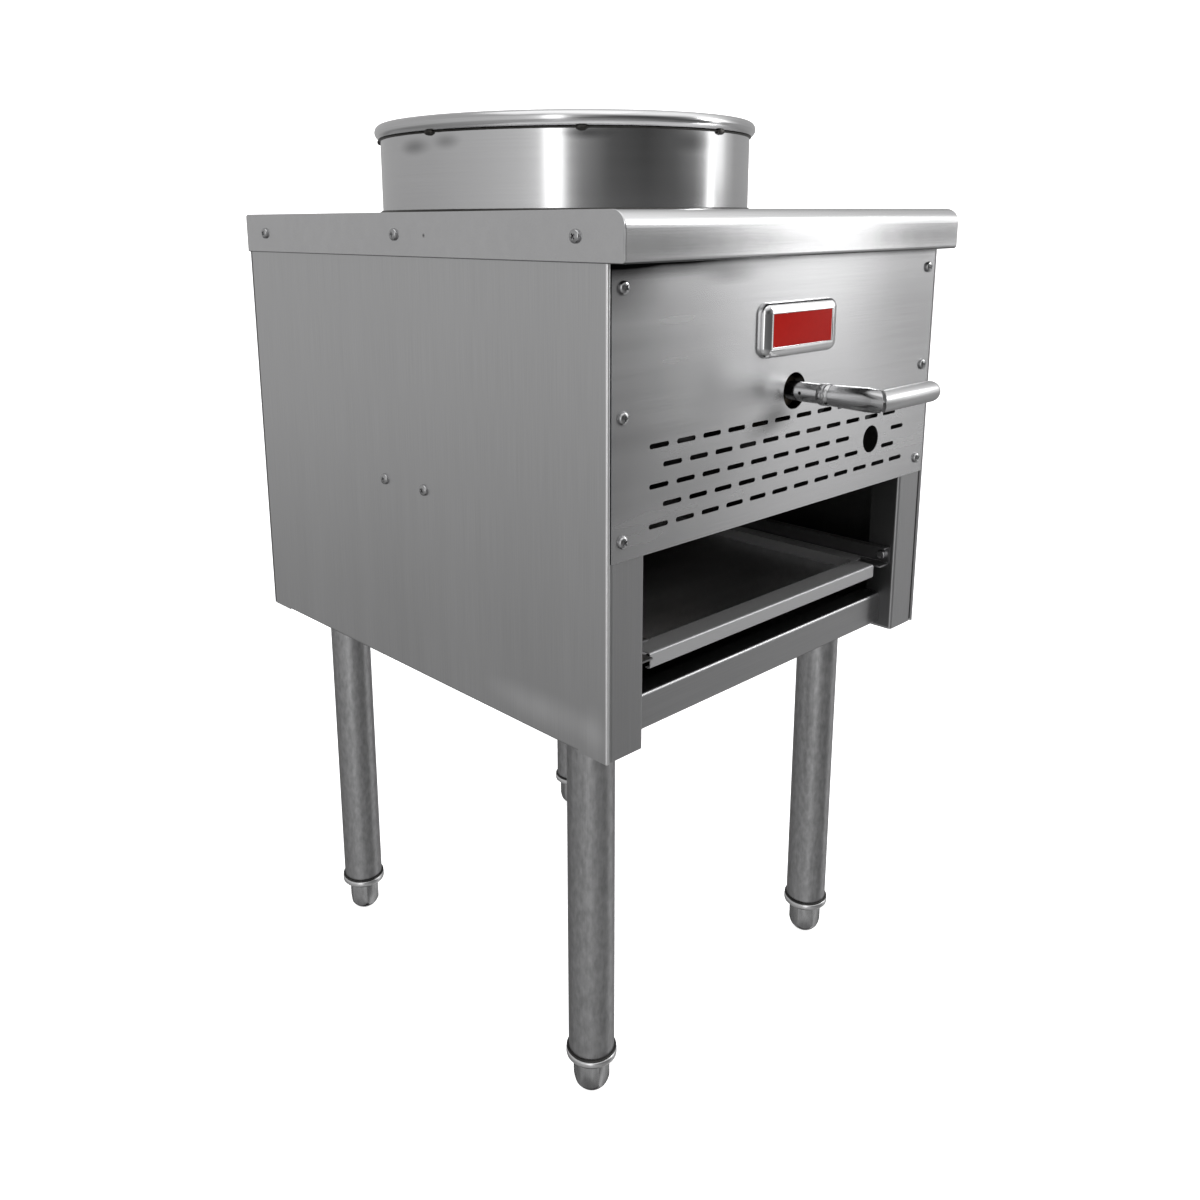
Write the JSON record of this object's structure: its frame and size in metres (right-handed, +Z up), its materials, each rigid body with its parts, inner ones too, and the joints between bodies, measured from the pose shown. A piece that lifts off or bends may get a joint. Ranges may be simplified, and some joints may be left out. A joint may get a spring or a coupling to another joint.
{
  "type": "wok range",
  "caption": "Freestanding gas wok range: sheet-steel cabinet on tube legs with a raised wok ring, slotted control panel, lever gas valve, jet burner and pull-out drip tray.",
  "frame": {"origin": "on the floor under the middle of the outline, lever and gas inlet included", "axes": "+X to the right seen from the front, -Y to the front where the cook stands, +Z up"},
  "size_m": [0.4664, 0.644, 0.883],
  "materials": {
    "panel_steel": "brushed along the height",
    "top_steel": "brushed along the width",
    "frame_steel": "mill finish",
    "ring_steel": "brushed around the ring",
    "chamber_steel": "heat-darkened",
    "tray_steel": "satin",
    "leg_steel": "satin tube",
    "foot_steel": "turned",
    "handle_chrome": "plated",
    "bezel_chrome": "plated",
    "plate_red": "satin enamel",
    "valve_brass": "machined",
    "burner_iron": "as cast",
    "pipe_black": "black",
    "tube_steel": "drawn",
    "pilot_aluminium": "drawn",
    "fastener_steel": "bright"
  },
  "bodies": {
    "cabinet": {"left_side_panel": "panel_steel", "right_side_panel": "panel_steel", "back_panel": "panel_steel", "control_panel": "panel_steel", "bottom_panel": "panel_steel", "top_panel": "top_steel", "front_left_post": "frame_steel", "front_right_post": "frame_steel", "rear_left_post": "frame_steel", "rear_right_post": "frame_steel", "front_cross_member": "frame_steel", "rear_cross_member": "frame_steel", "left_base_rail": "frame_steel", "right_base_rail": "frame_steel", "left_tray_rail": "frame_steel", "right_tray_rail": "frame_steel", "leg_sockets": "frame_steel", "burner_support": "frame_steel", "wok_ring_wall": "ring_steel", "wok_ring_rim": "ring_steel", "fire_chamber": "chamber_steel", "front_left_leg": "leg_steel", "front_right_leg": "leg_steel", "rear_left_leg": "leg_steel", "rear_right_leg": "leg_steel", "front_left_foot_insert": "foot_steel", "front_right_foot_insert": "foot_steel", "rear_left_foot_insert": "foot_steel", "rear_right_foot_insert": "foot_steel", "nameplate_bezel": "bezel_chrome", "nameplate_insert": "plate_red", "valve_body": "valve_brass", "valve_bonnet": "valve_brass", "pilot_valve": "valve_brass", "burner_jets": "valve_brass", "burner_head": "burner_iron", "gas_union": "burner_iron", "gas_inlet_pipe": "pipe_black", "gas_supply_tube": "tube_steel", "burner_feed_tube": "tube_steel", "pilot_burner": "tube_steel", "pilot_tube": "pilot_aluminium", "sheet_screws": "fastener_steel", "top_screws": "fastener_steel", "rail_bolts": "fastener_steel", "burner_bolts": "fastener_steel"},
    "valve_handle": {"valve_plug": "valve_brass", "handle_sleeve": "handle_chrome", "handle_collar": "handle_chrome", "handle_pin": "handle_chrome", "handle_barrel": "handle_chrome", "handle_lever": "handle_chrome"},
    "tray": {"drip_tray": "tray_steel", "drip_tray_floor": "tray_steel"},
    "pilot_adjuster": {"pilot_screw": "valve_brass"},
    "front_left_leveller": {"front_left_foot": "foot_steel"},
    "front_right_leveller": {"front_right_foot": "foot_steel"},
    "rear_left_leveller": {"rear_left_foot": "foot_steel"},
    "rear_right_leveller": {"rear_right_foot": "foot_steel"}
  },
  "joints": [
    {"name": "valve_turn", "type": "hinge", "parent": "cabinet", "child": "valve_handle", "pos_m": [0, -0.256, 0.648], "axis": [0, 1, 0], "range_deg": [0, 90]},
    {"name": "tray_slide", "type": "slide", "parent": "cabinet", "child": "tray", "axis": [0, -1, 0], "range_m": [0, 0.45]},
    {"name": "pilot_turn", "type": "hinge", "parent": "cabinet", "child": "pilot_adjuster", "pos_m": [0.095, -0.2045, 0.648], "axis": [0, 1, 0], "range_deg": [0, 90]},
    {"name": "front_left_foot_level", "type": "slide", "parent": "cabinet", "child": "front_left_leveller", "axis": [0, 0, -1], "range_m": [0, 0.025]},
    {"name": "front_right_foot_level", "type": "slide", "parent": "cabinet", "child": "front_right_leveller", "axis": [0, 0, -1], "range_m": [0, 0.025]},
    {"name": "rear_left_foot_level", "type": "slide", "parent": "cabinet", "child": "rear_left_leveller", "axis": [0, 0, -1], "range_m": [0, 0.025]},
    {"name": "rear_right_foot_level", "type": "slide", "parent": "cabinet", "child": "rear_right_leveller", "axis": [0, 0, -1], "range_m": [0, 0.025]}
  ]
}
